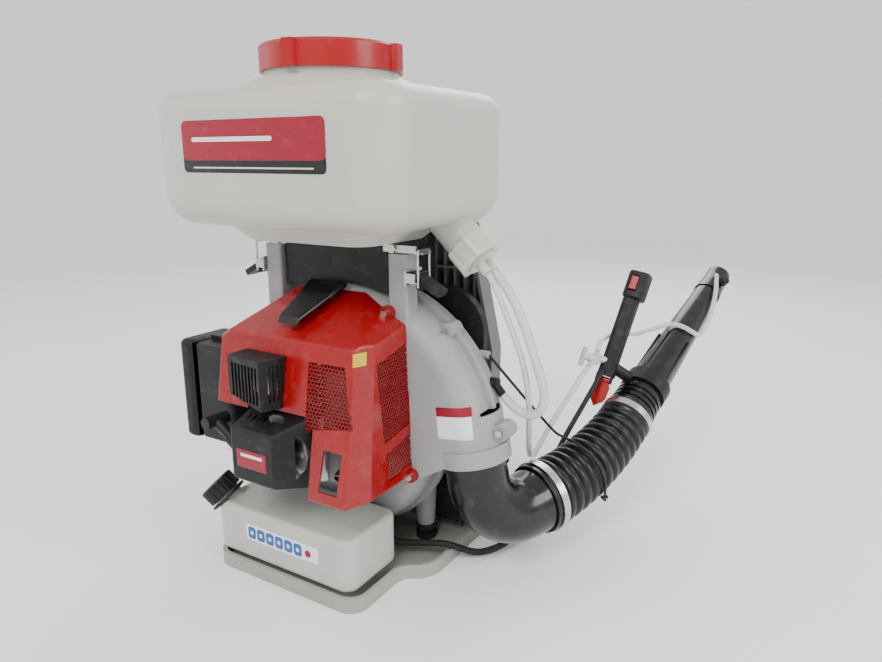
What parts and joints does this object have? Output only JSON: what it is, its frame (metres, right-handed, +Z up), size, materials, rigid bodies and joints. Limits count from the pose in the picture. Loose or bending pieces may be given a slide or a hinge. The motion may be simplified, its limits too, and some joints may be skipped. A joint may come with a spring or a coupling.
{
  "type": "knapsack mist blower",
  "caption": "Petrol knapsack mist blower: chemical tank over a scroll fan and engine, with a swivelling elbow, bellows hose, blow tube, grip, harness frame.",
  "frame": {"origin": "on the ground under the middle of the base", "axes": "+Z up, +Y towards the wearer's back and the nozzle, -Y towards the engine, +X towards the air outlet elbow"},
  "size_m": [0.6057, 0.8359, 0.68],
  "materials": {
    "tank_plastic": "translucent, satin",
    "lid_red": "satin gloss",
    "cover_red": "moulded gloss",
    "switch_red": "satin",
    "housing_grey": "fine grain",
    "base_grey": "fine grain",
    "frame_grey": "fine grain",
    "black_plastic": "fine grain",
    "gloss_black": "glossy",
    "rubber_black": "matt",
    "steel": "brushed",
    "aluminium": "cast, satin",
    "fan_plastic": "moulded",
    "clear_tube": "clear with braid",
    "cord_black": "matt",
    "pad_fabric": "woven"
  },
  "bodies": {
    "root": {"base_tray": "base_grey", "back_frame": "frame_grey", "back_pad": "pad_fabric", "shoulder_straps": "pad_fabric", "rubber_mounts": "rubber_black", "fan_housing_front": "housing_grey", "fan_housing_rear": "housing_grey", "intake_guard": "black_plastic", "crankcase": "aluminium", "cylinder": "aluminium", "spark_plug": "steel", "muffler": "steel", "carburettor": "aluminium", "filter_base": "black_plastic", "engine_cover": "cover_red", "muffler_guard": "black_plastic", "plug_cover": "gloss_black", "starter_housing": "black_plastic", "fuel_tank": "tank_plastic", "cap_tether": "rubber_black", "tank_seat": "black_plastic", "seat_gasket": "rubber_black", "latch_brackets": "steel", "chemical_tank": "tank_plastic", "outlet_collar": "tank_plastic", "outlet_nipples": "tank_plastic", "air_fitting": "black_plastic", "air_tube": "clear_tube", "liquid_tube_lower": "clear_tube", "cable_conduit_lower": "cord_black", "suspension_cord": "cord_black", "body_screws": "steel"},
    "rotor": {"impeller": "fan_plastic", "crankshaft": "steel", "flywheel": "aluminium"},
    "starter_pull": {"starter_handle": "black_plastic", "starter_rope": "cord_black"},
    "filter_cover": {"filter_cover": "black_plastic"},
    "fuel_cap": {"fuel_cap": "black_plastic"},
    "tank_lid": {"tank_lid": "lid_red"},
    "latch_lever_left": {"latch_lever_left": "black_plastic"},
    "latch_lever_right": {"latch_lever_right": "black_plastic"},
    "latch_rod_left": {"latch_rod_left": "steel"},
    "latch_rod_right": {"latch_rod_right": "steel"},
    "elbow": {"elbow_pipe": "gloss_black", "hose_clamp_inner": "steel", "bellows_hose": "rubber_black"},
    "wand": {"hose_clamp_outer": "steel", "blow_tube": "gloss_black", "nozzle": "gloss_black", "handle_bracket": "black_plastic", "control_grip": "black_plastic", "valve_body": "tank_plastic", "liquid_tube_upper": "clear_tube", "liquid_tube_nozzle": "clear_tube", "cable_conduit_upper": "cord_black"},
    "dose_dial": {"dose_dial": "black_plastic"},
    "stop_switch": {"stop_switch": "switch_red"},
    "throttle_lever": {"throttle_lever": "lid_red"},
    "valve_handle": {"valve_handle": "tank_plastic"}
  },
  "joints": [
    {"name": "rotor_spin", "type": "hinge", "parent": "root", "child": "rotor", "pos_m": [0, 0, 0.192], "axis": [0, 1, 0], "continuous": true},
    {"name": "starter_pull_out", "type": "slide", "parent": "root", "child": "starter_pull", "axis": [-0.8629, 0.0602, 0.5017], "range_m": [0, 0.055]},
    {"name": "filter_cover_off", "type": "slide", "parent": "root", "child": "filter_cover", "axis": [-1, 0, 0], "range_m": [0, 0.06]},
    {"name": "fuel_cap_off", "type": "slide", "parent": "root", "child": "fuel_cap", "axis": [-0.6222, -0.3011, 0.7226], "range_m": [0, 0.06]},
    {"name": "tank_lid_off", "type": "slide", "parent": "root", "child": "tank_lid", "axis": [0, 0, 1], "range_m": [0, 0.08]},
    {"name": "latch_right_open", "type": "hinge", "parent": "root", "child": "latch_lever_right", "pos_m": [0.13, 0.003, 0.404], "axis": [0, -1, 0], "range_deg": [0, 80]},
    {"name": "latch_rod_right_turn", "type": "hinge", "parent": "latch_lever_right", "child": "latch_rod_right", "pos_m": [0.136, 0.003, 0.3936], "axis": [0, -1, 0], "range_deg": [-80, 0]},
    {"name": "latch_left_open", "type": "hinge", "parent": "root", "child": "latch_lever_left", "pos_m": [-0.13, 0.003, 0.404], "axis": [0, 1, 0], "range_deg": [0, 80]},
    {"name": "latch_rod_left_turn", "type": "hinge", "parent": "latch_lever_left", "child": "latch_rod_left", "pos_m": [-0.136, 0.003, 0.3936], "axis": [0, 1, 0], "range_deg": [-80, 0]},
    {"name": "elbow_swivel", "type": "hinge", "parent": "root", "child": "elbow", "pos_m": [0.191, 0.036, 0.176], "axis": [0.19, 0, -0.9818], "range_deg": [-8, 60], "deforming": ["liquid_tube_lower", "cable_conduit_lower", "suspension_cord"]},
    {"name": "hose_bend", "type": "hinge", "parent": "elbow", "child": "wand", "pos_m": [0.28691, 0.22347, 0.10764], "axis": [0.9564, -0.292, 0], "range_deg": [-15, 25], "deforming": ["bellows_hose", "liquid_tube_upper", "cable_conduit_upper"]},
    {"name": "throttle_squeeze", "type": "hinge", "parent": "wand", "child": "throttle_lever", "pos_m": [0.26844, 0.32542, 0.20512], "axis": [0.9857, 0, -0.1683], "range_deg": [0, 12], "stiffness_Nm_per_rad": 0.3, "springref_deg": -5.73},
    {"name": "stop_switch_rock", "type": "hinge", "parent": "wand", "child": "stop_switch", "pos_m": [0.29393, 0.37727, 0.35445], "axis": [0.9857, 0, -0.1683], "range_deg": [-8, 8]},
    {"name": "valve_turn", "type": "hinge", "parent": "wand", "child": "valve_handle", "pos_m": [0.255, 0.321, 0.238], "axis": [-0.7197, -0.6397, 0.2699], "range_deg": [0, 90]},
    {"name": "dose_dial_turn", "type": "hinge", "parent": "wand", "child": "dose_dial", "pos_m": [0.38596, 0.6207, 0.33103], "axis": [0.7628, -0.3998, 0.5082], "range_deg": [0, 270]}
  ],
  "couplings": [
    {"joint": "latch_rod_right_turn", "follows": "latch_right_open", "ratio": -1},
    {"joint": "latch_rod_left_turn", "follows": "latch_left_open", "ratio": -1}
  ]
}
